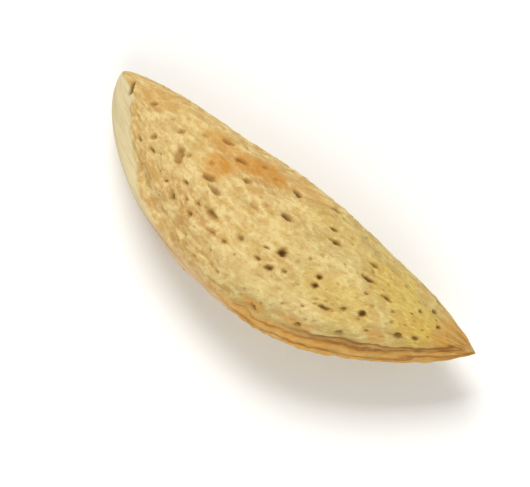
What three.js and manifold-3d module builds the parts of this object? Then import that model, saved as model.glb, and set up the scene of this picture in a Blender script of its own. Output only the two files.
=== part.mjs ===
// An almond in its closed shell, lying on one of its two broad faces. Millimetres, +Z up.
// +X runs from the stem end to the point, -Y is the keeled edge and +Y the straighter back edge.
// It is built level and then turned a little, to the lie that it comes to rest in by itself.
// The origin is on the surface it lies on, under the middle of its length and width.
import * as THREE from "three";
import { mergeVertices } from "three/addons/utils/BufferGeometryUtils.js";
import Module from "manifold-3d";

// Driving dimensions
const LENGTH = 38; // tip to tip
const BELLY = 10.8; // how far the keeled edge bows out from the line between the tips
const BACK = 2.2; // how far the back edge bows out from that line
const THICKNESS = 9.5; // across the two broad faces
const FACE_FLATNESS = 0.85; // under 1, the broad faces are flatter than round
const FLAT_DEPTH = 0.25; // how much of the lower face the resting spot takes off

const ROLL = -13; // degrees about its length, which lifts the keel
const PITCH = -3; // degrees about its width, which lifts the point

// How blunt each outline ends: 0.5 is round and 1 is a sharp point. A lean over 1 puts the
// widest place past the middle, towards the point.
const BELLY_BOW = { stem: 0.63, point: 0.9, lean: 1.02 };
const BACK_BOW = { stem: 0.5, point: 0.95, lean: 1.2 };
const THICKNESS_BOW = { stem: 0.6, point: 0.84, lean: 1.04 };

// The keel along the belly, the furrow that sets it off, and the seam along the back
const KEEL_HEIGHT = 1.0;
const KEEL_DIP = { share: 0.75, along: 0.44, reach: 0.24 }; // it is low over the middle
const KEEL_HALF_WIDTH = 0.55;
const KEEL_FLARE = { width: 1.2, reach: 0.16 }; // the keel broadens towards the stem end
const KEEL_SWAY = 0.35; // how far it wanders to either side
const KEEL_TATTER = 0.16; // how ragged its edge is
const KEEL_ZONE = { from: 0.72, to: 0.96 }; // where it rises on the way from the back edge
const KEEL_PINCH = 0.4; // how much the section narrows towards it
const FURROW = { depth: 0.3, offset: 0.45, width: 0.36 };
const BACK_SEAM = { depth: 0.2, width: 0.09 }; // the width is in radians round the section

// Low relief of the broad faces
const SWELL = 0.12; // broad lumps
const RIB_HEIGHT = 0.085; // fibre bundles that run from tip to tip
const RIB_COUNT = 13;

// Pits
const PIT_SEED = 11;
const PIT_COUNT = 122; // besides the ones placed by hand
const PIT_TRIES = 6000;
const PIT_GAP = 1.15; // least distance between two pits
const PIT_LENGTH = { least: 0.4, most: 1.6 };
const PIT_SLIMNESS = { least: 0.35, most: 0.85 }; // width over length
const PIT_WIDEST = 0.65;
const PIT_TURN = 16; // most degrees that a pit lies askew
const PIT_DEPTH = 0.55; // share of its width
const PIT_FLOOR = 0.4; // width of the floor over the width of the mouth
const PIT_SIDES = 5;
const PIT_LIFT = 0.12; // how far a pit's cutter stands above the surface
const PIT_SPAN = { from: 0.07, to: 0.92 }; // the stretch of the length that has pits
const PIT_CROWD = { least: 0.35, along: 0.6, reach: 0.27 }; // how thick they are, and where most
const SPOT_CLEARANCE = 6; // no pits this near the middle of the resting spot
const KEEL_CLEARANCE = 0.9; // nor this near the keel
const SEAM_CLEARANCE = 17; // nor within so many degrees of the back seam

// The larger marks on the face that lies uppermost, each with its place along the length from
// 0 to 1, its place round the section in degrees from the back edge, its length and its width
const FACE_PITS = [
  [0.638, 74, 1.3, 0.5],
  [0.73, 68, 1.0, 0.45],
  [0.744, 86, 1.6, 0.5],
  [0.8, 93, 1.1, 0.4],
  [0.572, 108, 0.95, 0.85],
  [0.664, 108, 0.8, 0.6],
  [0.669, 117, 0.8, 0.6],
  [0.78, 122, 0.8, 0.65],
  [0.744, 124, 0.7, 0.45],
  [0.708, 131, 1.4, 0.5],
  [0.538, 122, 0.7, 0.5],
  [0.57, 125, 0.75, 0.6],
  [0.6, 119, 0.7, 0.45],
  [0.484, 118, 0.8, 0.55],
  [0.457, 128, 0.7, 0.5],
  [0.422, 129, 1.2, 0.45],
  [0.358, 120, 0.8, 0.5],
  [0.358, 131, 0.7, 0.55],
  [0.406, 78, 0.7, 0.6],
  [0.457, 92, 1.9, 0.4],
  [0.153, 130, 0.8, 0.4],
  [0.195, 125, 1.0, 0.4],
  [0.265, 131, 0.6, 0.5],
  [0.587, 162, 0.9, 0.6],
];
const SCAR = { along: 0.253, around: 102, length: 2.2, width: 0.9, turn: -50, depth: 0.25 };
const STEM_SLOT = { along: 0.054, around: 92, length: 1.7, width: 0.5, turn: -42, depth: 0.8 };

// Mesh density of the shell before the pits are cut
const RINGS = 64;
const SEGMENTS = 44;
const KEEL_CROWDING = 0.4; // draws the segments towards the keel

const TAU = 2 * Math.PI;
const radians = (degrees) => (degrees * Math.PI) / 180;
const bell = (x, width) => Math.exp(-((x / width) ** 2));
const { lerp, smoothstep } = THREE.MathUtils;

// A bow of height 1 over the length, with its own bluntness at each end.
const bow = (t, { stem, point, lean }) =>
  (4 * t ** lean * (1 - t ** lean)) ** lerp(stem, point, t);
const fadeAtTips = (t) => Math.sqrt(Math.max(0, 4 * t * (1 - t)));

const keelShare = (t) => 1 - KEEL_DIP.share * bell(t - KEEL_DIP.along, KEEL_DIP.reach);
const keelHeight = (t) =>
  KEEL_HEIGHT * fadeAtTips(t) * keelShare(t) +
  KEEL_TATTER * fadeAtTips(t) * Math.sin(61 * t + 2 * Math.sin(23 * t)) * Math.sin(17 * t + 1);
const keelHalfWidth = (t) => KEEL_HALF_WIDTH + KEEL_FLARE.width * bell(t, KEEL_FLARE.reach);
const keelCentre = (t) => KEEL_SWAY * fadeAtTips(t) * Math.sin(5.2 * t + 0.6);

// A point of the shell: t is the share of the length, and around is 0 at the back edge,
// a quarter turn on the upper face and a half turn at the keel.
function shellPoint(t, around) {
  const c = Math.cos(around);
  const s = Math.sin(around);
  const towardsKeel = (1 - c) / 2;
  const belly = BELLY * bow(t, BELLY_BOW) - keelHeight(t);
  const back = BACK * bow(t, BACK_BOW);
  const halfWidth = (back + belly) / 2;
  const halfThickness = (THICKNESS / 2) * bow(t, THICKNESS_BOW);
  const point = new THREE.Vector3(
    LENGTH * (t - 0.5),
    (back - belly) / 2 + halfWidth * c,
    halfThickness * Math.sign(s) *
      Math.abs(s) ** (FACE_FLATNESS * (1 + KEEL_PINCH * towardsKeel ** 2)),
  );

  const aside = Math.abs(point.z - keelCentre(t));
  const onKeelSide = smoothstep(towardsKeel, KEEL_ZONE.from, KEEL_ZONE.to);
  const furrow =
    FURROW.depth * keelShare(t) * onKeelSide *
    bell(aside - keelHalfWidth(t) - FURROW.offset, FURROW.width);
  const seam = BACK_SEAM.depth * bell(around > Math.PI ? around - TAU : around, BACK_SEAM.width);
  // The waves' numbers only have to keep them from lining up.
  const swell =
    SWELL * (Math.sin(9 * t + 2 * around + 1) * Math.sin(5 * around - 4 * t) +
      0.6 * Math.sin(17 * t - 3 * around));
  const ribs =
    RIB_HEIGHT * Math.sin(RIB_COUNT * around + 2.2 * Math.sin(4.5 * t) + 0.8 * Math.sin(19 * t));
  const relief = fadeAtTips(t) * (swell + ribs - furrow - seam);
  const out = new THREE.Vector2(c * halfThickness, s * halfWidth);
  if (out.lengthSq() > 0) out.setLength(relief);
  point.y += out.x;
  point.z += out.y;

  point.y -= keelHeight(t) * bell(aside, keelHalfWidth(t)) * onKeelSide;
  return point;
}

// The surface's own axes at a point: along the length, across it, and straight out.
function shellFrame(t, around) {
  const step = 1e-3;
  const at = shellPoint(t, around);
  const along = shellPoint(t + step, around).sub(shellPoint(t - step, around)).normalize();
  const across = shellPoint(t, around + step).sub(shellPoint(t, around - step));
  const out = new THREE.Vector3().crossVectors(along, across).normalize();
  if (out.dot(new THREE.Vector3(0, Math.cos(around), Math.sin(around))) < 0) out.negate();
  return { at, along, out };
}

// Rings of points from the stem end to the point, closed by one point at each tip.
function shellGeometry() {
  const positions = [shellPoint(0, 0)];
  for (let ring = 1; ring < RINGS; ring++) {
    const t = (1 - Math.cos((Math.PI * ring) / RINGS)) / 2;
    for (let k = 0; k < SEGMENTS; k++) {
      const even = (TAU * k) / SEGMENTS;
      positions.push(shellPoint(t, even + KEEL_CROWDING * Math.sin(even)));
    }
  }
  positions.push(shellPoint(1, 0));

  const last = positions.length - 1;
  const vertex = (ring, k) => 1 + (ring - 1) * SEGMENTS + (k % SEGMENTS);
  const faces = [];
  for (let k = 0; k < SEGMENTS; k++) {
    faces.push(0, vertex(1, k + 1), vertex(1, k));
    faces.push(last, vertex(RINGS - 1, k), vertex(RINGS - 1, k + 1));
    for (let ring = 1; ring < RINGS - 1; ring++) {
      const [a, b] = [vertex(ring, k), vertex(ring, k + 1)];
      const [c, d] = [vertex(ring + 1, k + 1), vertex(ring + 1, k)];
      faces.push(a, b, c, a, c, d);
    }
  }
  const geometry = new THREE.BufferGeometry().setFromPoints(positions);
  geometry.setIndex(faces);
  return geometry;
}

// Small repeatable random numbers from 0 to 1.
function randomFrom(seed) {
  let state = seed;
  return () => {
    state = (Math.imul(state, 1664525) + 1013904223) >>> 0;
    return state / 2 ** 32;
  };
}

// Where the pits are: thick over the middle of both faces, few near the tips, and none on the
// keel, along the back seam or round the resting spot.
function scatterPits(spot) {
  const random = randomFrom(PIT_SEED);
  const pits = FACE_PITS.map(([t, degrees, length, width]) => ({
    ...shellFrame(t, radians(degrees)),
    length,
    width,
    turn: 0,
    depth: PIT_DEPTH * width,
  }));
  const placedByHand = pits.length;
  const { least, most } = PIT_LENGTH;
  for (let n = 0; n < PIT_TRIES && pits.length < PIT_COUNT + placedByHand; n++) {
    const t = lerp(PIT_SPAN.from, PIT_SPAN.to, random());
    const around = TAU * random();
    const length = lerp(least, most, random() ** 3);
    const slim = lerp(PIT_SLIMNESS.least, PIT_SLIMNESS.most, random());
    const turn = radians(lerp(-PIT_TURN, PIT_TURN, random()));
    const wanted = lerp(PIT_CROWD.least, 1, bell(t - PIT_CROWD.along, PIT_CROWD.reach));
    if (random() > wanted) continue;
    const frame = shellFrame(t, around);
    const besideKeel = Math.abs(frame.at.z - keelCentre(t)) - keelHalfWidth(t);
    if (Math.cos(around) < 0 && besideKeel < KEEL_CLEARANCE) continue;
    if (Math.cos(around) > Math.cos(radians(SEAM_CLEARANCE))) continue;
    if (frame.at.z < 0 && frame.at.distanceTo(spot) < SPOT_CLEARANCE) continue;
    if (pits.some((pit) => pit.at.distanceTo(frame.at) < PIT_GAP)) continue;
    const width = Math.min(length * slim, PIT_WIDEST);
    pits.push({ ...frame, length, width, turn, depth: PIT_DEPTH * width });
  }
  return pits;
}

// A tapered cutter for one pit, widest at the surface.
function pitCutter({ at, along, out, length, width, turn, depth }) {
  const height = depth + PIT_LIFT;
  const mouth = 1 + (PIT_LIFT / depth) * (1 - PIT_FLOOR);
  const cutter = new THREE.CylinderGeometry(mouth / 2, PIT_FLOOR / 2, height, PIT_SIDES);
  cutter.translate(0, PIT_LIFT - height / 2, 0);
  cutter.scale(length, 1, width);
  cutter.rotateY(turn);
  const side = new THREE.Vector3().crossVectors(along, out);
  const place = new THREE.Matrix4().makeBasis(along, out, side).setPosition(at);
  return cutter.applyMatrix4(place);
}

const wasm = await Module();
wasm.setup();

function solidOf(geometry) {
  const bare = new THREE.BufferGeometry().setAttribute("position", geometry.getAttribute("position"));
  bare.setIndex(geometry.getIndex());
  const merged = mergeVertices(bare, 1e-4);
  const vertProperties = merged.getAttribute("position").array;
  const triVerts = new Uint32Array(merged.getIndex().array);
  return new wasm.Manifold(new wasm.Mesh({ numProp: 3, vertProperties, triVerts }));
}

function geometryOf(solid) {
  const { vertProperties, triVerts } = solid.getMesh();
  const geometry = new THREE.BufferGeometry();
  geometry.setAttribute("position", new THREE.BufferAttribute(vertProperties, 3));
  geometry.setIndex(new THREE.BufferAttribute(triVerts, 1));
  return geometry;
}

// The shell with its pits, its stem scar and the flat spot that it rests on.
function almondGeometry() {
  const lie = new THREE.Matrix4().makeRotationY(radians(PITCH));
  lie.multiply(new THREE.Matrix4().makeRotationX(radians(ROLL)));
  const shell = shellGeometry();
  const laid = shell.clone().applyMatrix4(lie);
  laid.computeBoundingBox();
  const { min, max } = laid.boundingBox;
  const spot = new THREE.Vector3();
  for (let i = 0; i < laid.getAttribute("position").count; i++)
    if (laid.getAttribute("position").getZ(i) === min.z)
      spot.fromBufferAttribute(shell.getAttribute("position"), i);

  const marks = [SCAR, STEM_SLOT].map(({ along, around, turn, ...size }) => ({
    ...shellFrame(along, radians(around)),
    ...size,
    turn: radians(turn),
  }));
  let almond = solidOf(shell);
  for (const pit of [...scatterPits(spot), ...marks])
    almond = almond.subtract(solidOf(pitCutter(pit)));

  const ground = new THREE.BoxGeometry(2 * LENGTH, 2 * LENGTH, LENGTH);
  ground.translate(0, 0, min.z + FLAT_DEPTH - LENGTH / 2);
  almond = almond.subtract(solidOf(ground.applyMatrix4(lie.clone().invert())));

  const middle = new THREE.Vector3().addVectors(min, max).multiplyScalar(0.5);
  const geometry = geometryOf(almond).applyMatrix4(lie);
  return geometry.translate(-middle.x, -middle.y, -min.z - FLAT_DEPTH);
}

const shellMaterial = new THREE.MeshStandardMaterial({
  color: new THREE.Color().setRGB(0.85, 0.72, 0.46, THREE.SRGBColorSpace),
  roughness: 0.75,
  metalness: 0,
});

const almond = new THREE.Mesh(almondGeometry(), shellMaterial);
almond.name = "almond";

const part = new THREE.Group();
part.add(almond);
export default part;
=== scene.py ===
import math

import bmesh
import bpy
from mathutils import Matrix, Vector, kdtree, noise


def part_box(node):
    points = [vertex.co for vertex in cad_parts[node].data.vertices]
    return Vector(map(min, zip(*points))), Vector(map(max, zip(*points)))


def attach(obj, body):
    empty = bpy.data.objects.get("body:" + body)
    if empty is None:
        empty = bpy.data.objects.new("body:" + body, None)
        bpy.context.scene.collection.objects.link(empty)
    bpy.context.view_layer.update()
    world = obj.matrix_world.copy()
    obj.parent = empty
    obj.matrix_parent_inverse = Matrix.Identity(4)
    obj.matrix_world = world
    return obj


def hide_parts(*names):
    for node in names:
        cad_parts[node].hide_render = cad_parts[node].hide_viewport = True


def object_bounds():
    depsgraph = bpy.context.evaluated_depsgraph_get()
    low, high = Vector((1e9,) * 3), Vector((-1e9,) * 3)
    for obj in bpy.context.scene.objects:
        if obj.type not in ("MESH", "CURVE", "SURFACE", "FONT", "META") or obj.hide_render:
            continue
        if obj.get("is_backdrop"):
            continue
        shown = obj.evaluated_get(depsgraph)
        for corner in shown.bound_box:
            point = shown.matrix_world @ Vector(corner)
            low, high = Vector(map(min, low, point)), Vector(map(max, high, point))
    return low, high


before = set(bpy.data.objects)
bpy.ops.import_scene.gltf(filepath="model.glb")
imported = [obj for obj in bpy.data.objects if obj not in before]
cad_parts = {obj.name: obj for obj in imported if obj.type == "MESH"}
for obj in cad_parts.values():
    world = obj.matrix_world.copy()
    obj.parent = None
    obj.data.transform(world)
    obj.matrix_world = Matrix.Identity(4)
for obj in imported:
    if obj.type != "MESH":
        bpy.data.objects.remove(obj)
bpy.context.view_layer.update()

# The shell's form.
# An almond's shell is a woody stone in two halves that never part by themselves. It grew as one
# piece: bowed along the keeled belly, nearly straight along the back, blunt where the stem was.
MM = 0.001  # the shell's sizes are in millimetres until its mesh is moved to its place
TAU = 2 * math.pi
LENGTH = 38.0
BELLY = 10.8
BACK = 2.2
THICKNESS = 9.5
FACE_FLATNESS = 0.85
BELLY_BOW = {"stem": 0.63, "point": 0.9, "lean": 1.02}
BACK_BOW = {"stem": 0.5, "point": 0.95, "lean": 1.2}
THICKNESS_BOW = {"stem": 0.6, "point": 0.84, "lean": 1.04}
SWELL = 0.12
RIB_HEIGHT = 0.085
RIB_COUNT = 13


def lerp(a, b, share):
    return a + (b - a) * share


def bell(x, width):
    return math.exp(-((x / width) ** 2))


def smoothstep(x, low, high):
    share = min(1.0, max(0.0, (x - low) / (high - low)))
    return share * share * (3 - 2 * share)


def rise(x, zone):
    """0 before a zone and 1 after it."""
    return smoothstep(x, zone["from"], zone["to"])


def bow(t, ends):
    arch = max(0.0, 4 * t ** ends["lean"] * (1 - t ** ends["lean"]))
    return arch ** lerp(ends["stem"], ends["point"], t)


def fade_at_tips(t):
    return math.sqrt(max(0.0, 4 * t * (1 - t)))


# The keel.
# Where the two halves meet along the belly the shell thickens to a keel. It is broad and smooth
# by the stem, low over the middle and a narrow ragged strip by the point.
KEEL_HEIGHT = 1.0
KEEL_DIP = {"share": 0.75, "along": 0.44, "reach": 0.24}
KEEL_HALF_WIDTH = 0.55
KEEL_FLARE = {"width": 1.2, "reach": 0.16}
KEEL_SWAY = 0.35
KEEL_TATTER = 0.16
KEEL_ZONE = {"from": 0.72, "to": 0.96}
KEEL_PINCH = 0.4
FURROW = {"depth": 0.3, "offset": 0.45, "width": 0.36}
BACK_SEAM = {"depth": 0.2, "width": 0.09}


def keel_share(t):
    return 1 - KEEL_DIP["share"] * bell(t - KEEL_DIP["along"], KEEL_DIP["reach"])


def keel_height(t):
    tatter = math.sin(61 * t + 2 * math.sin(23 * t)) * math.sin(17 * t + 1)
    return fade_at_tips(t) * (KEEL_HEIGHT * keel_share(t) + KEEL_TATTER * tatter)


def keel_half_width(t):
    return KEEL_HALF_WIDTH + KEEL_FLARE["width"] * bell(t, KEEL_FLARE["reach"])


def keel_centre(t):
    return KEEL_SWAY * fade_at_tips(t) * math.sin(5.2 * t + 0.6)


def shell_point(t, around):
    """A point of the shell in millimetres: t is the share of the length, and around is 0 at the
    back edge, a quarter turn on the upper face and a half turn at the keel."""
    c, s = math.cos(around), math.sin(around)
    towards_keel = (1 - c) / 2
    belly = BELLY * bow(t, BELLY_BOW) - keel_height(t)
    back = BACK * bow(t, BACK_BOW)
    half_width = (back + belly) / 2
    half_thickness = THICKNESS / 2 * bow(t, THICKNESS_BOW)
    pinched = math.copysign(abs(s) ** (FACE_FLATNESS * (1 + KEEL_PINCH * towards_keel ** 2)), s)
    point = Vector((LENGTH * (t - 0.5), (back - belly) / 2 + half_width * c, half_thickness * pinched))

    aside = abs(point.z - keel_centre(t))
    on_keel_side = rise(towards_keel, KEEL_ZONE)
    beside = aside - keel_half_width(t) - FURROW["offset"]
    furrow = FURROW["depth"] * keel_share(t) * on_keel_side * bell(beside, FURROW["width"])
    turn = around - TAU if around > math.pi else around
    seam = BACK_SEAM["depth"] * bell(turn, BACK_SEAM["width"])
    swell = SWELL * (math.sin(9 * t + 2 * around + 1) * math.sin(5 * around - 4 * t)
                     + 0.6 * math.sin(17 * t - 3 * around))
    ribs = RIB_HEIGHT * math.sin(RIB_COUNT * around + 2.2 * math.sin(4.5 * t) + 0.8 * math.sin(19 * t))
    relief = fade_at_tips(t) * (swell + ribs - furrow - seam)
    out = Vector((0, c * half_thickness, s * half_width))
    if out.length > 0:
        point += relief * out.normalized()
    point.y -= keel_height(t) * bell(aside, keel_half_width(t)) * on_keel_side
    return point


def shell_frame(t, around):
    """A point of the shell with its axes along the length and straight out."""
    step = 1e-3
    along = (shell_point(t + step, around) - shell_point(t - step, around)).normalized()
    across = shell_point(t, around + step) - shell_point(t, around - step)
    out = along.cross(across).normalized()
    if out.dot(Vector((0, math.cos(around), math.sin(around)))) < 0:
        out.negate()
    return {"at": shell_point(t, around), "along": along, "out": out}


# The way it lies.
# It rests on a broad face, rolled and pitched until its weight is over the spot that it touches
# with. The spot is looked for on the corners of the coarser solid, so that both agree.
ROLL = -13  # degrees
PITCH = -3  # degrees
FLAT_DEPTH = 0.25
SOLID_RINGS = 64
SOLID_SEGMENTS = 44
KEEL_CROWDING = 0.4
LIE = Matrix.Rotation(math.radians(PITCH), 4, "Y") @ Matrix.Rotation(math.radians(ROLL), 4, "X")


def lowest_point():
    """The lowest point of the shell as it lies, which the resting spot is round."""
    points = []
    for ring in range(1, SOLID_RINGS):
        t = (1 - math.cos(math.pi * ring / SOLID_RINGS)) / 2
        for k in range(SOLID_SEGMENTS):
            even = TAU * k / SOLID_SEGMENTS
            points.append(shell_point(t, even + KEEL_CROWDING * math.sin(even)))
    return min(points, key=lambda point: (LIE @ point).z)


# The pits.
# A shell dries full of pits, long ones along the fibres and small round ones between them. They
# are thick over both faces, few near the tips, and missing on the keel and the back seam.
PIT_SEED = 11
PIT_COUNT = 122
PIT_TRIES = 6000
PIT_GAP = 1.15
PIT_LENGTH = {"least": 0.4, "most": 1.6}
PIT_SLIMNESS = {"least": 0.35, "most": 0.85}
PIT_WIDEST = 0.65
PIT_TURN = 16  # degrees
PIT_DEPTH = 0.55  # of its width
PIT_SPAN = {"from": 0.07, "to": 0.92}
PIT_CROWD = {"least": 0.35, "along": 0.6, "reach": 0.27}
PIT_DARKNESS = {"least": 0.4, "most": 0.9}
STEM_HALF = {"paler": 0.24, "from": 0.4, "to": 0.55}  # how much paler the pits are before the middle
SPOT_CLEARANCE = 6
KEEL_CLEARANCE = 0.9
SEAM_CLEARANCE = 17  # degrees
# Each with its place along, its degrees from the back edge, its length, width and darkness
FACE_PITS = [
    (0.638, 74, 1.3, 0.5, 0.9),
    (0.73, 68, 1.0, 0.45, 0.7),
    (0.744, 86, 1.6, 0.5, 0.85),
    (0.8, 93, 1.1, 0.4, 0.75),
    (0.572, 108, 0.95, 0.85, 1.0),
    (0.664, 108, 0.8, 0.6, 0.85),
    (0.669, 117, 0.8, 0.6, 0.8),
    (0.78, 122, 0.8, 0.65, 0.85),
    (0.744, 124, 0.7, 0.45, 0.65),
    (0.708, 131, 1.4, 0.5, 0.7),
    (0.538, 122, 0.7, 0.5, 0.65),
    (0.57, 125, 0.75, 0.6, 0.75),
    (0.6, 119, 0.7, 0.45, 0.6),
    (0.484, 118, 0.8, 0.55, 0.55),
    (0.457, 128, 0.7, 0.5, 0.55),
    (0.422, 129, 1.2, 0.45, 0.5),
    (0.358, 120, 0.8, 0.5, 0.55),
    (0.358, 131, 0.7, 0.55, 0.5),
    (0.406, 78, 0.7, 0.6, 0.55),
    (0.457, 92, 1.9, 0.4, 0.45),
    (0.153, 130, 0.8, 0.4, 0.6),
    (0.195, 125, 1.0, 0.4, 0.6),
    (0.265, 131, 0.6, 0.5, 0.5),
    (0.587, 162, 0.9, 0.6, 0.7),
]
PINPRICK_SEED = 5
PINPRICK_COUNT = 430
PINPRICK_LENGTH = {"least": 0.24, "most": 0.55}
PINPRICK_GAP = 0.55
PINPRICK_DEPTH = 0.45  # of its width
PINPRICK_DARKNESS = {"least": 0.12, "most": 0.6}
PINPRICK_DARKENING = {"stem": 0.8, "point": 1.4, "from": -2, "to": 8}


def repeatable(seed):
    """Small repeatable random numbers from 0 to 1."""
    state = seed
    while True:
        state = (state * 1664525 + 1013904223) % 2 ** 32
        yield state / 2 ** 32


def pit_place(draw):
    """A drawn place for a pit, or None where a shell has none."""
    t = lerp(PIT_SPAN["from"], PIT_SPAN["to"], next(draw))
    around = TAU * next(draw)
    size = next(draw)
    slim = lerp(PIT_SLIMNESS["least"], PIT_SLIMNESS["most"], next(draw))
    turn = math.radians(lerp(-PIT_TURN, PIT_TURN, next(draw)))
    wanted = lerp(PIT_CROWD["least"], 1, bell(t - PIT_CROWD["along"], PIT_CROWD["reach"]))
    if next(draw) > wanted:
        return None
    place = shell_frame(t, around)
    beside_keel = abs(place["at"].z - keel_centre(t)) - keel_half_width(t)
    if math.cos(around) < 0 and beside_keel < KEEL_CLEARANCE:
        return None
    if math.cos(around) > math.cos(math.radians(SEAM_CLEARANCE)):
        return None
    return dict(place, size=size, slim=slim, turn=turn)


def crowded(place, others, gap):
    return any((other["at"] - place["at"]).length < gap for other in others)


def scatter_pits(spot):
    """The face's larger pits, and then more at drawn places clear of the resting spot."""
    pits = []
    for t, degrees, length, width, dark in FACE_PITS:
        place = shell_frame(t, math.radians(degrees))
        pits.append(dict(place, length=length, width=width, turn=0, depth=PIT_DEPTH * width, dark=dark))
    wanted = PIT_COUNT + len(pits)
    draw = repeatable(PIT_SEED)
    for _ in range(PIT_TRIES):
        if len(pits) == wanted:
            break
        place = pit_place(draw)
        if place is None:
            continue
        if place["at"].z < 0 and (place["at"] - spot).length < SPOT_CLEARANCE:
            continue
        if crowded(place, pits, PIT_GAP):
            continue
        length = lerp(PIT_LENGTH["least"], PIT_LENGTH["most"], place["size"] ** 3)
        width = min(length * place["slim"], PIT_WIDEST)
        before_middle = 1 - rise(place["at"].x / LENGTH + 0.5, STEM_HALF)
        dark = lerp(PIT_DARKNESS["least"], PIT_DARKNESS["most"], place["size"])
        dark -= STEM_HALF["paler"] * before_middle
        pits.append(dict(place, length=length, width=width, depth=PIT_DEPTH * width, dark=dark))
    return pits


def scatter_pinpricks(pits):
    """Fine pits between the others, darker towards the point."""
    draw = repeatable(PINPRICK_SEED)
    pricks = []
    while len(pricks) < PINPRICK_COUNT:
        place = pit_place(draw)
        if place is None or crowded(place, pits + pricks, PINPRICK_GAP):
            continue
        length = lerp(PINPRICK_LENGTH["least"], PINPRICK_LENGTH["most"], place["size"] ** 2)
        width = length * place["slim"]
        towards_point = rise(place["at"].x, PINPRICK_DARKENING)
        dark = lerp(PINPRICK_DARKNESS["least"], PINPRICK_DARKNESS["most"], next(draw) ** 2)
        dark *= lerp(PINPRICK_DARKENING["stem"], PINPRICK_DARKENING["point"], towards_point)
        pricks.append(dict(place, length=length, width=width, depth=PINPRICK_DEPTH * width, dark=dark))
    return pricks


# The scar and the stem slot.
# An oblique scar lies on the upper face, and a narrow slot is left where the stem was attached.
# The slot's lips have closed on it a little.
SCAR = {"along": 0.253, "around": 102, "length": 2.2, "width": 0.9, "turn": -50, "depth": 0.25}
STEM_SLOT = {"along": 0.054, "around": 92, "length": 1.7, "width": 0.5, "turn": -42, "depth": 0.8}
SCAR_RAGGEDNESS = 0.8
SLOT_RAGGEDNESS = 0.15
SLOT_SHUT = 0.75  # the share of its width that the slot's mouth has kept


def opened(mark, ragged, kept_width=1.0, scar=False):
    """A mark at its place on the shell, to be sunk as the pits are."""
    place = shell_frame(mark["along"], math.radians(mark["around"]))
    return dict(
        place,
        length=mark["length"],
        width=mark["width"] * kept_width,
        depth=mark["depth"],
        turn=math.radians(mark["turn"]),
        ragged=ragged,
        dark=1.0,
        scar=scar,
    )


# The net, the fibres and the grain.
# Between the pits the dry skin is a net of low ridges, drawn out along the almond, with the
# fibres of the wood running from tip to tip just under it and a fine grain over both.
GIRTH_RADIUS = 5.5
NET_CELL = 0.9
NET_STRETCH = 1.7
NET_HEIGHT = 0.065
NET_WARP = {"height": 0.35, "pace": 1.3}
NET_SHARPNESS = 2.6
NET_MIDDLE = 0.4
FIBRE_CELL = 0.42
FIBRE_STRETCH = 7
FIBRE_HEIGHT = 0.045
FIBRE_WARP = {"height": 0.5, "pace": 0.7}
FIBRE_SHARPNESS = 2.2
FIBRE_MIDDLE = 0.5
GRAIN_CELL = 0.33
GRAIN_HEIGHT = 0.04
GRAIN_FALL = 0.8
GRAIN_STEP = 2.1
GRAIN_OCTAVES = 3
SMOOTHED_FIBRES = 0.6  # how much of the fibres and of the grain a smooth place loses
SMOOTHED_GRAIN = 0.85
NOISE_SEED = 7
noise.seed_set(NOISE_SEED)  # noise_vector would differ from run to run without it


def waver(place, *waves):
    """Soft noise at a place, summed from waves that each have a height and a pace."""
    return sum(height * noise.noise(place * pace) for height, pace in waves)


def flow_place(t, around):
    """A place laid out so that a pattern drawn out along its first axis runs from tip to tip."""
    return Vector((LENGTH * t, GIRTH_RADIUS * math.cos(around), GIRTH_RADIUS * math.sin(around)))


def drawn_out(place, stretch, cell):
    return Vector((place.x / stretch, place.y, place.z)) / cell


def ridged(place, sharpness):
    return 1 - min(1.0, sharpness * abs(noise.noise(place)))


def net_ridge(point):
    """1 on the net's ridges and 0 in its meshes."""
    place = drawn_out(point, NET_STRETCH, NET_CELL)
    place += NET_WARP["height"] * noise.noise_vector(place * NET_WARP["pace"])
    return ridged(place, NET_SHARPNESS)


def fibre_ridge(flow):
    """1 on the crests of the fibres and 0 between them."""
    place = drawn_out(flow, FIBRE_STRETCH, FIBRE_CELL)
    place += FIBRE_WARP["height"] * noise.noise_vector(flow * FIBRE_WARP["pace"])
    return ridged(place, FIBRE_SHARPNESS)


def skin_relief(here, smooth):
    """The height of the net, the fibres and the grain, lower where the skin is smooth."""
    net = NET_HEIGHT * (here["net"] - NET_MIDDLE)
    fibres = FIBRE_HEIGHT * (fibre_ridge(here["flow"]) - FIBRE_MIDDLE)
    grain_place = drawn_out(here["point"], NET_STRETCH, GRAIN_CELL)
    grain = GRAIN_HEIGHT * noise.fractal(grain_place, GRAIN_FALL, GRAIN_STEP, GRAIN_OCTAVES)
    relief = (1 - smooth) * net
    relief += (1 - SMOOTHED_FIBRES * smooth) * fibres
    relief += (1 - SMOOTHED_GRAIN * smooth) * grain
    return relief


# What the skin is like from place to place.
# The keel's broad flank by the stem is smooth and ivory, with a fingered edge, and its rim is
# pinkish after it. From the middle on the keel is a rusty band of strands beside a furrow, dark
# with painted shade.
KEEL_SIDE = {"from": 0.6, "to": 0.8}
KEEL_WAVES = (0.12, 1.1)
KEEL_FADE = {"from": 0.0, "to": 0.35}
FLANK_SPAN = {"from": 0.20, "to": 0.36}
FLANK_SPAN_WAVES = (0.02, 0.7)
FLANK_START = {"stem": 0.5, "later": 0.66, "from": 0.03, "to": 0.12, "fade": 0.05}
FLANK_START_WAVES = (0.02, 1.3)
FLANK_EDGE = {"stem": 0.35, "later": -0.2, "from": 0.05, "to": 0.28, "fade": 0.22}
FINGERS = {"height": 0.3, "along": 0.3, "across": 1.3}
RUST_SPAN = {"from": 0.42, "to": 0.58}
RUST_FADE = {"from": 0.1, "to": 0.6}
RIPE_SPAN = {"from": 0.42, "to": 0.74}
RIPE_WAVES = (0.1, 0.3)
RIPE_BESIDE = {"from": 0.0, "to": 0.6}
RIM_WIDTH = 0.45
RIM_START = {"from": 0.18, "to": 0.28}
RIM_END = {"from": 0.48, "to": 0.6}
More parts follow.
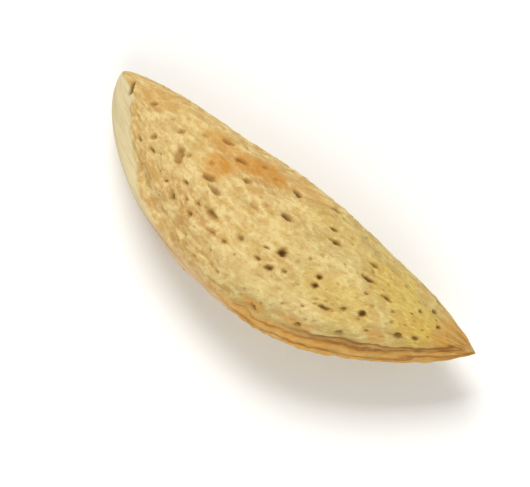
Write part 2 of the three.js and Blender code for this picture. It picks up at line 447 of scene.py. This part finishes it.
# The furrow beside the keel is cut into the skin and painted dark as shade.
SHADED_FURROW = {"offset": 0.40, "width": 0.14, "depth": 0.10, "from": 0.6, "to": 0.75}
KEEL_SUTURE = {"width": 0.07, "from": 0.3, "to": 0.5}
BACK_SUTURE_WIDTH = 0.012
SUTURE_DEPTH = 0.09


def skin_place(point, t, around):
    """Where a place of the skin lies, and what it is, each quality as a share."""
    towards_keel = (1 - math.cos(around)) / 2
    keel_side = rise(towards_keel, KEEL_SIDE)
    aside = point.z - keel_centre(t)
    half_width = keel_half_width(t)
    beside = abs(aside) - half_width + waver(point, KEEL_WAVES)

    near_stem = 1 - rise(t + waver(point, FLANK_SPAN_WAVES), FLANK_SPAN)
    start = lerp(FLANK_START["stem"], FLANK_START["later"], rise(t, FLANK_START))
    started = smoothstep(towards_keel + waver(point, FLANK_START_WAVES), start, start + FLANK_START["fade"])
    along, across = FINGERS["along"], FINGERS["across"]
    fingers = FINGERS["height"] * noise.noise(Vector((along * point.x, across * point.y, across * point.z)))
    edge = lerp(FLANK_EDGE["stem"], FLANK_EDGE["later"], rise(t, FLANK_EDGE)) + fingers * fade_at_tips(t)
    within = 1 - smoothstep(beside, edge, edge + FLANK_EDGE["fade"])

    rim = bell(beside + half_width, RIM_WIDTH) * rise(t, RIM_START) * (1 - rise(t, RIM_END))
    furrow = rise(t, SHADED_FURROW) * bell(beside - SHADED_FURROW["offset"], SHADED_FURROW["width"])
    keel_suture = keel_side * bell(aside, KEEL_SUTURE["width"]) * (1 - rise(t, KEEL_SUTURE))
    return {
        "point": point.copy(),
        "flow": flow_place(t, around),
        "aside": aside,
        "keel": keel_side * (1 - rise(beside, KEEL_FADE)),
        "ivory": started * near_stem * within,
        "rust": keel_side * (1 - rise(beside, RUST_FADE)) * rise(t, RUST_SPAN),
        "ripe": rise(t + waver(point, RIPE_WAVES), RIPE_SPAN) * rise(beside, RIPE_BESIDE),
        "rim": keel_side * rim,
        "furrow": keel_side * furrow,
        "suture": keel_suture + bell(math.sin(around / 2), BACK_SUTURE_WIDTH),
        "net": net_ridge(point),
    }


# The skin's mesh.
# Its rings are close together at the tips and its segments on the upper face. The relief is laid
# on it along its normals: net, fibres and grain, the keel's strands, and the torn point.
RINGS = 380
SEGMENTS = 256
EVEN_RINGS = 0.5  # how far the rings' spacing goes from crowded at the tips to even
UPPER_CROWDING = 0.35  # draws the segments to the upper face
POLE = 1e-4
SMOOTH_STEM_END = {"from": 0.0, "to": 0.03}
LAMELLA_PITCH = 0.5
LAMELLA_HEIGHT = 0.075
STRAND_WAVES = ((0.3, 0.35), (0.08, 1.6))
TATTER_CELL = 0.7
TATTER_SLIMNESS = 3
TATTER_HEIGHT = 0.16
TATTER_SPAN = {"from": 0.4, "to": 0.6}
TORN_CELL = 0.8
TORN_STRETCH = 0.35
TORN_HEIGHT = 0.5
TORN_SPAN = {"from": 0.90, "to": 0.97}
TIP_CALM = {"from": 0.0, "to": 0.4}  # the relief dies out over these values of fade_at_tips

bm = bmesh.new()
bmesh.ops.create_uvsphere(bm, u_segments=SEGMENTS, v_segments=RINGS, radius=1)
places = []
for vert in bm.verts:
    polar = math.acos(max(-1.0, min(1.0, -vert.co.z)))
    t = lerp((1 - math.cos(polar)) / 2, polar / math.pi, EVEN_RINGS)
    even = math.atan2(vert.co.y, vert.co.x)
    around = (even + UPPER_CROWDING * math.cos(even)) % TAU
    if polar < POLE:
        t = 0.0
    if polar > math.pi - POLE:
        t = 1.0
    places.append((t, around))
    vert.co = shell_point(t, around)
bm.normal_update()

skin = [skin_place(vert.co, t, around) for vert, (t, around) in zip(bm.verts, places)]
for here, (t, around) in zip(skin, places):
    smooth = max(here["keel"], here["ivory"], 1 - rise(t, SMOOTH_STEM_END))
    relief = skin_relief(here, smooth)
    strands = here["aside"] + waver(here["flow"], *STRAND_WAVES)
    here["lamella"] = here["rust"] * math.cos(TAU * strands / LAMELLA_PITCH)
    relief += LAMELLA_HEIGHT * here["lamella"]
    relief -= SHADED_FURROW["depth"] * here["furrow"] + SUTURE_DEPTH * here["suture"]
    tatter = noise.noise(Vector((here["flow"].x, 0, TATTER_SLIMNESS * here["aside"])) / TATTER_CELL)
    relief += TATTER_HEIGHT * tatter * here["rust"] * rise(t, TATTER_SPAN)
    torn = noise.noise(Vector((TORN_STRETCH * here["flow"].x, here["flow"].y, here["flow"].z)) / TORN_CELL)
    relief += TORN_HEIGHT * torn * rise(t, TORN_SPAN)
    fade = fade_at_tips(t)
    here["relief"] = relief * fade * rise(fade, TIP_CALM)
for vert, here in zip(bm.verts, skin):
    vert.co += here["relief"] * vert.normal

# The pits in the mesh.
# Each is a ragged cup, a little deeper than the solid's cut because the shell has dried, and it
# darkens towards its centre, partly with the pit's own brown and partly with painted shade.
# Where two overlap, the deeper one counts.
HOLLOWED = 1.35
CUP = {"from": 0.3, "to": 1.15}
SHADE = {"from": -0.1, "to": 1.5}
CUP_WAVES = ((0.4, 2.3), (0.25, 6.1))
CUP_REACH = 0.9
CUP_MARGIN = 0.2
FACING = 0.2  # a vertex that faces away from the pit's axis more than this isn't sunk


def sink_pits(pits):
    """How far each vertex sinks, how dark it is with the pits' own brown and painted shade, and how scarred
    it is.
    """
    tree = kdtree.KDTree(len(bm.verts))
    for vert in bm.verts:
        tree.insert(vert.co, vert.index)
    tree.balance()
    bm.verts.ensure_lookup_table()
    sink = [Vector((0, 0, 0)) for _ in bm.verts]
    pit_brown_and_shade = [0.0] * len(bm.verts)
    scarred = [0.0] * len(bm.verts)
    for pit in pits:
        side = pit["along"].cross(pit["out"])
        axis = pit["along"] * math.cos(pit["turn"]) - side * math.sin(pit["turn"])
        cross = pit["out"].cross(axis)
        reach = CUP_REACH * pit["length"] + CUP_MARGIN
        for co, index, _ in tree.find_range(pit["at"], reach):
            if bm.verts[index].normal.dot(pit["out"]) < FACING:
                continue
            offset = co - pit["at"]
            ragged = 1 + pit.get("ragged", 1) * waver(co, *CUP_WAVES)
            lengthwise = offset.dot(axis) / (pit["length"] / 2)
            crosswise = offset.dot(cross) / (pit["width"] / 2)
            r = ragged * math.hypot(lengthwise, crosswise)
            cup = 1 - rise(r, CUP)
            move = -HOLLOWED * pit["depth"] * cup * pit["out"]
            if move.length > sink[index].length:
                sink[index] = move
            if pit.get("scar"):
                scarred[index] = max(scarred[index], cup)
            else:
                # the pit's own brown and its painted shade, darkest at the centre
                pit_brown_and_shade[index] = max(pit_brown_and_shade[index], pit["dark"] * (1 - rise(r, SHADE)))
    return sink, pit_brown_and_shade, scarred


spot = lowest_point()
pits = scatter_pits(spot)
pricks = scatter_pinpricks(pits)
marks = [
    opened(SCAR, SCAR_RAGGEDNESS, scar=True),
    opened(STEM_SLOT, SLOT_RAGGEDNESS, kept_width=SLOT_SHUT),
]
sink, pit_brown_and_shade, scarred = sink_pits(pits + pricks + marks)
for vert in bm.verts:
    vert.co += sink[vert.index]

# The flat spot.
# The skin is laid as the almond lies, flattened where it touches the floor, and moved to the
# solid's place in metres.
bm.transform(LIE)
floor_level = (LIE @ spot).z + FLAT_DEPTH
for vert in bm.verts:
    vert.co.z = max(vert.co.z, floor_level)
low = [min(vert.co[axis] for vert in bm.verts) for axis in range(3)]
high = [max(vert.co[axis] for vert in bm.verts) for axis in range(3)]
under = Vector(((low[0] + high[0]) / 2, (low[1] + high[1]) / 2, floor_level))
solid_low, solid_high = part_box("almond")
middle = (solid_low + solid_high) / 2
shift = Vector((middle.x, middle.y, solid_low.z)) - MM * under
bm.transform(Matrix.Translation(shift) @ Matrix.Scale(MM, 4))
bmesh.ops.recalc_face_normals(bm, faces=bm.faces)
for face in bm.faces:
    face.smooth = True
mesh = bpy.data.meshes.new("almond_shell")
bm.to_mesh(mesh)
bm.free()

# The stains and some painted light and shade.
# A few orange and yellow-green stains and some paler places lie on the shell. Some of the paler
# places are painted light, and one green stain is partly a painted shadow. Each has its place
# along, its degrees from the back edge, its half length and half width, and its strength.
ORANGE_STAINS = [
    (0.34, 84, 1.3, 1.4, 1.0),
    (0.31, 64, 1.8, 0.9, 0.8),
    (0.38, 66, 1.6, 0.9, 1.0),
    (0.426, 57, 2.0, 0.9, 1.1),
    (0.50, 45, 3.0, 0.7, 0.5),
    (0.587, 160, 1.4, 0.6, 0.75),
    (0.68, 158, 4.0, 0.6, 0.6),
    (0.83, 145, 3.0, 0.6, 0.6),
    (0.95, 100, 1.9, 2.2, 0.8),
    (0.12, 70, 2.6, 1.0, 0.4),
    (0.30, 240, 3.0, 1.4, 0.8),
    (0.66, 285, 2.4, 1.5, 0.7),
    (0.50, 330, 4.0, 0.8, 0.6),
]
PALE_PATCHES_AND_PAINTED_LIGHT = [
    # The first two are painted light, lifting the shade on the face's lower side towards the keel; the
    # third is a painted highlight on the upper face; the rest are paler places.
    (0.53, 139, 4.0, 1.3, 0.7),
    (0.67, 142, 3.5, 1.2, 0.7),
    (0.69, 92, 2.2, 1.6, 0.6),
    (0.67, 62, 2.4, 1.0, 0.6),
    (0.20, 105, 2.4, 1.6, 0.5),
    (0.45, 260, 5.0, 2.5, 0.5),
]
GREEN_STAINS_AND_SHADOW = [
    (0.885, 112, 2.2, 2.0, 0.95),
    # partly the shell's green and partly a painted shadow over the upper face near the point
    (0.80, 76, 3.4, 2.0, 0.75),
    (0.74, 120, 4.0, 1.8, 0.45),
    (0.62, 60, 3.0, 1.4, 0.35),
    (0.25, 290, 3.5, 2.2, 0.6),
]
STAIN_EDGE = {"from": 0.55, "to": 1.35}
STAIN_WAVES = ((0.35, 0.9), (0.2, 2.4))
STAIN_REACH = 2


def stain(point, stains):
    """How strongly the stains colour a place, with ragged soft edges."""
    most = 0.0
    for along, degrees, half_length, half_width, strength in stains:
        offset = point - shell_point(along, math.radians(degrees))
        r = math.hypot(offset.x / half_length, math.hypot(offset.y, offset.z) / half_width)
        if r < STAIN_REACH:
            r += waver(point, *STAIN_WAVES)
            most = max(most, strength * (1 - rise(r, STAIN_EDGE)))
    return most


def keep_on_mesh(name, values):
    layer = mesh.attributes.new(name, "FLOAT", "POINT")
    layer.data.foreach_set("value", values)


flow_layer = mesh.attributes.new("flow", "FLOAT_VECTOR", "POINT")
flow_layer.data.foreach_set("vector", [part for here in skin for part in here["flow"]])
keep_on_mesh("pit_brown_and_shade", pit_brown_and_shade)
keep_on_mesh("scarred", scarred)
for name, stains in (("orange", ORANGE_STAINS), ("green", GREEN_STAINS_AND_SHADOW), ("pale", PALE_PATCHES_AND_PAINTED_LIGHT)):
    keep_on_mesh(name, [stain(here["point"], stains) for here in skin])
for name in ("net", "ripe", "ivory", "rim", "rust", "furrow", "suture", "lamella"):
    keep_on_mesh(name, [here[name] for here in skin])

shell = bpy.data.objects.new("almond_shell", mesh)
bpy.context.collection.objects.link(shell)

# The skin's paint.
# The shell is gold, mottled with tan and cream and greener towards the point. Stains, painted
# light and shade, the keel's colours and the pits lie over that as coats, and a fine bump follows
# the flecks and fibres.
GOLD = (203, 169, 100)
CREAM = (221, 198, 137)
TAN = (190, 150, 86)
ORANGE = (198, 136, 49)
GREEN = (203, 171, 66)
OLIVE = (190, 177, 108)
IVORY = (209, 194, 151)
IVORY_STRAND = (192, 170, 122)
RIM_PINK = (214, 182, 142)
PALE_GRIT = (236, 220, 172)
RUST = (196, 138, 54)
# a brown both for the painted shade in the furrow and for the troughs between the keel's strands
FURROW_SHADE_AND_STRAND_BROWN = (128, 82, 34)
SCAR_BROWN = (148, 101, 38)
PIT_BROWN_AND_SHADE = (104, 72, 28)
PIT_RIM = (172, 130, 66)
NOISE_ROUGHNESS = 0.55
STAINED_CALM = 0.65  # how much of the pale specks a stained place loses
ROUGHNESS = {"least": 0.62, "most": 0.82}
SHEEN = 0.2
BUMP_SHARES = {"fleck": 0.4, "fibre": 0.6, "grit": 0.4}
BUMP_ON_IVORY = 0.25
BUMP_STRENGTH = 0.9
BUMP_HEIGHT = 0.07

material = bpy.data.materials.new("almond_skin")
material.use_nodes = True
nodes = material.node_tree.nodes
links = material.node_tree.links
surface = nodes["Principled BSDF"]
flow = nodes.new("ShaderNodeAttribute")
flow.attribute_name = "flow"


def linear(colour):
    """A colour as the eye sees it, 0 to 255, turned to the linear light that a shader takes."""
    parts = []
    for part in colour:
        share = part / 255
        parts.append(share / 12.92 if share <= 0.04045 else ((share + 0.055) / 1.055) ** 2.4)
    return (*parts, 1.0)


def put(socket, value):
    """Gives a socket a link, a colour or a number."""
    if isinstance(value, bpy.types.NodeSocket):
        links.new(value, socket)
    elif isinstance(value, tuple):
        socket.default_value = linear(value)
    else:
        socket.default_value = value


def attribute(name):
    node = nodes.new("ShaderNodeAttribute")
    node.attribute_name = name
    return node.outputs["Fac"]


def grown_noise(cell, stretch, detail):
    """Noise of a cell size in millimetres, drawn out from tip to tip."""
    mapping = nodes.new("ShaderNodeMapping")
    mapping.inputs["Scale"].default_value = (1 / stretch, 1, 1)
    links.new(flow.outputs["Vector"], mapping.inputs["Vector"])
    node = nodes.new("ShaderNodeTexNoise")
    links.new(mapping.outputs["Vector"], node.inputs["Vector"])
    node.inputs["Scale"].default_value = 1 / cell
    node.inputs["Detail"].default_value = detail
    node.inputs["Roughness"].default_value = NOISE_ROUGHNESS
    return node.outputs["Fac"]


def spread(value, low, high, to_low=0.0, to_high=1.0):
    """Stretches a value from one range to another, with soft ends."""
    node = nodes.new("ShaderNodeMapRange")
    node.interpolation_type = "SMOOTHSTEP"
    put(node.inputs["Value"], value)
    node.inputs["From Min"].default_value = low
    node.inputs["From Max"].default_value = high
    node.inputs["To Min"].default_value = to_low
    node.inputs["To Max"].default_value = to_high
    return node.outputs["Result"]


def combined(operation, a, b):
    """A sum, a product and so on of two values."""
    node = nodes.new("ShaderNodeMath")
    node.operation = operation
    put(node.inputs[0], a)
    put(node.inputs[1], b)
    return node.outputs["Value"]


def times(a, b):
    return combined("MULTIPLY", a, b)


def rest_of(share):
    return combined("SUBTRACT", 1.0, share)


def mixed(share, under, over):
    node = nodes.new("ShaderNodeMix")
    node.data_type = "RGBA"
    put(node.inputs["Factor"], share)
    put(node.inputs["A"], under)
    put(node.inputs["B"], over)
    return node.outputs["Result"]


broad = grown_noise(4.5, 1.6, 2)
mottle = grown_noise(0.62, 1.6, 3)
fleck = grown_noise(0.3, 1.4, 2)
streak = grown_noise(0.3, 9.0, 3)
fibre = grown_noise(0.13, 6.0, 3)
grit = grown_noise(0.15, 1.8, 2)
ivory = attribute("ivory")
rust = attribute("rust")
orange = attribute("orange")
lamella = attribute("lamella")
pit_brown_and_shade_share = attribute("pit_brown_and_shade")
unstained = rest_of(times(combined("MAXIMUM", orange, rust), STAINED_CALM))

# Each coat's share and colour, from the undermost up
coats = [
    (spread(mottle, 0.40, 0.62, 0.0, 0.85), CREAM),
    (times(attribute("ripe"), spread(broad, 0.35, 0.65, 0.35, 0.65)), OLIVE),
    # paler places, the first three of them painted light
    (times(attribute("pale"), spread(mottle, 0.25, 0.75, 0.4, 1.0)), CREAM),
    # green stains, one of them partly a painted shadow
    (times(attribute("green"), spread(mottle, 0.25, 0.75, 0.5, 1.0)), GREEN),
    (times(orange, spread(mottle, 0.32, 0.62, 0.45, 1.0)), ORANGE),
    (times(rust, spread(mottle, 0.3, 0.7, 0.5, 1.0)), RUST),
    (spread(lamella, 0.3, 0.95, 0.0, 0.45), GOLD),
    (spread(lamella, -0.3, -0.9, 0.0, 0.6), FURROW_SHADE_AND_STRAND_BROWN),
    (times(unstained, spread(fleck, 0.56, 0.70, 0.0, 0.6)), CREAM),
    (spread(fleck, 0.44, 0.30, 0.0, 0.6), TAN),
    (spread(streak, 0.56, 0.70, 0.0, 0.35), CREAM),
    (spread(streak, 0.42, 0.30, 0.0, 0.35), PIT_RIM),
    (times(unstained, spread(grit, 0.57, 0.72, 0.0, 0.3)), PALE_GRIT),
    (spread(grit, 0.42, 0.29, 0.0, 0.3), PIT_RIM),
    (spread(attribute("net"), 0.75, 0.05, 0.0, 0.30), PIT_RIM),
    # painted shade in the furrow beside the keel
    (times(attribute("furrow"), 0.8), FURROW_SHADE_AND_STRAND_BROWN),
    (times(attribute("rim"), 0.75), RIM_PINK),
    (times(ivory, 0.92), IVORY),
    (times(ivory, spread(streak, 0.50, 0.36, 0.0, 0.6)), IVORY_STRAND),
    (times(attribute("suture"), spread(mottle, 0.35, 0.6, 0.35, 0.75)), SCAR_BROWN),
    (times(attribute("scarred"), spread(mottle, 0.35, 0.6, 1.0, 0.75)), SCAR_BROWN),
    # The pits' coats: partly their own brown and partly painted shade, darker towards each centre
    (spread(pit_brown_and_shade_share, 0.05, 0.55, 0.0, 0.6), PIT_RIM),
    (spread(pit_brown_and_shade_share, 0.25, 0.85, 0.0, 0.95), PIT_BROWN_AND_SHADE),
]
colour = mixed(spread(broad, 0.38, 0.62), GOLD, TAN)
for share, coat in coats:
    colour = mixed(share, colour, coat)
put(surface.inputs["Base Color"], colour)
put(surface.inputs["Roughness"], spread(mottle, 0.3, 0.7, ROUGHNESS["least"], ROUGHNESS["most"]))
surface.inputs["Specular IOR Level"].default_value = SHEEN

bumps = combined("ADD", times(fleck, BUMP_SHARES["fleck"]), times(fibre, BUMP_SHARES["fibre"]))
bumps = combined("ADD", bumps, times(grit, BUMP_SHARES["grit"]))
bumps = times(bumps, spread(rest_of(ivory), 0.0, 1.0, BUMP_ON_IVORY, 1.0))
bump = nodes.new("ShaderNodeBump")
bump.inputs["Strength"].default_value = BUMP_STRENGTH
bump.inputs["Distance"].default_value = BUMP_HEIGHT * MM
links.new(bumps, bump.inputs["Height"])
links.new(bump.outputs["Normal"], surface.inputs["Normal"])
mesh.materials.append(material)

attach(shell, "root")
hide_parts("almond")

# The plain pale floor that it lies on
FLOOR_SIDE = 1.2
FLOOR_WHITE = (243, 242, 239)
FLOOR_ROUGHNESS = 0.9
floor_grid = bmesh.new()
bmesh.ops.create_grid(floor_grid, x_segments=1, y_segments=1, size=FLOOR_SIDE / 2)
floor_mesh = bpy.data.meshes.new("floor")
floor_grid.to_mesh(floor_mesh)
floor_grid.free()
floor = bpy.data.objects.new("floor", floor_mesh)
bpy.context.collection.objects.link(floor)
floor_paint = bpy.data.materials.new("floor_paint")
floor_paint.use_nodes = True
floor_surface = floor_paint.node_tree.nodes["Principled BSDF"]
floor_surface.inputs["Base Color"].default_value = linear(FLOOR_WHITE)
floor_surface.inputs["Roughness"].default_value = FLOOR_ROUGHNESS
floor_mesh.materials.append(floor_paint)
floor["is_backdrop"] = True

# Soft studio light: a large lamp from the upper left, a weaker one opposite, and a pale room
LAMPS = [
    {"name": "key", "at": (-0.25, 0.20, 0.45), "size": 0.30, "watts": 2.45},
    {"name": "fill", "at": (0.30, -0.30, 0.30), "size": 0.40, "watts": 1.5},
]
ROOM_COLOUR = (1.0, 0.99, 0.97, 1.0)
ROOM_STRENGTH = 0.4
for lamp in LAMPS:
    light = bpy.data.lights.new(lamp["name"], "AREA")
    light.size = lamp["size"]
    light.energy = lamp["watts"]
    holder = bpy.data.objects.new(lamp["name"], light)
    holder.location = lamp["at"]
    holder.rotation_euler = (-Vector(lamp["at"])).to_track_quat("-Z", "Y").to_euler()
    bpy.context.collection.objects.link(holder)
world = bpy.data.worlds.new("room")
world.use_nodes = True
background = world.node_tree.nodes["Background"]
background.inputs["Color"].default_value = ROOM_COLOUR
background.inputs["Strength"].default_value = ROOM_STRENGTH
bpy.context.scene.world = world
bpy.context.scene.view_settings.view_transform = "Standard"

# The camera looks down on the keeled side, with the stem end at the upper left
AZIMUTH = math.radians(40.5)
ELEVATION = math.radians(74)
DISTANCE = 0.36
LENS = 300.0
camera_data = bpy.data.cameras.new("camera")
camera_data.lens = LENS
camera = bpy.data.objects.new("camera", camera_data)
away = Vector((
    math.sin(AZIMUTH) * math.cos(ELEVATION),
    -math.cos(AZIMUTH) * math.cos(ELEVATION),
    math.sin(ELEVATION),
))
camera.location = middle + DISTANCE * away
camera.rotation_euler = (-away).to_track_quat("-Z", "Y").to_euler()
bpy.context.collection.objects.link(camera)
bpy.context.scene.camera = camera

low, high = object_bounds()
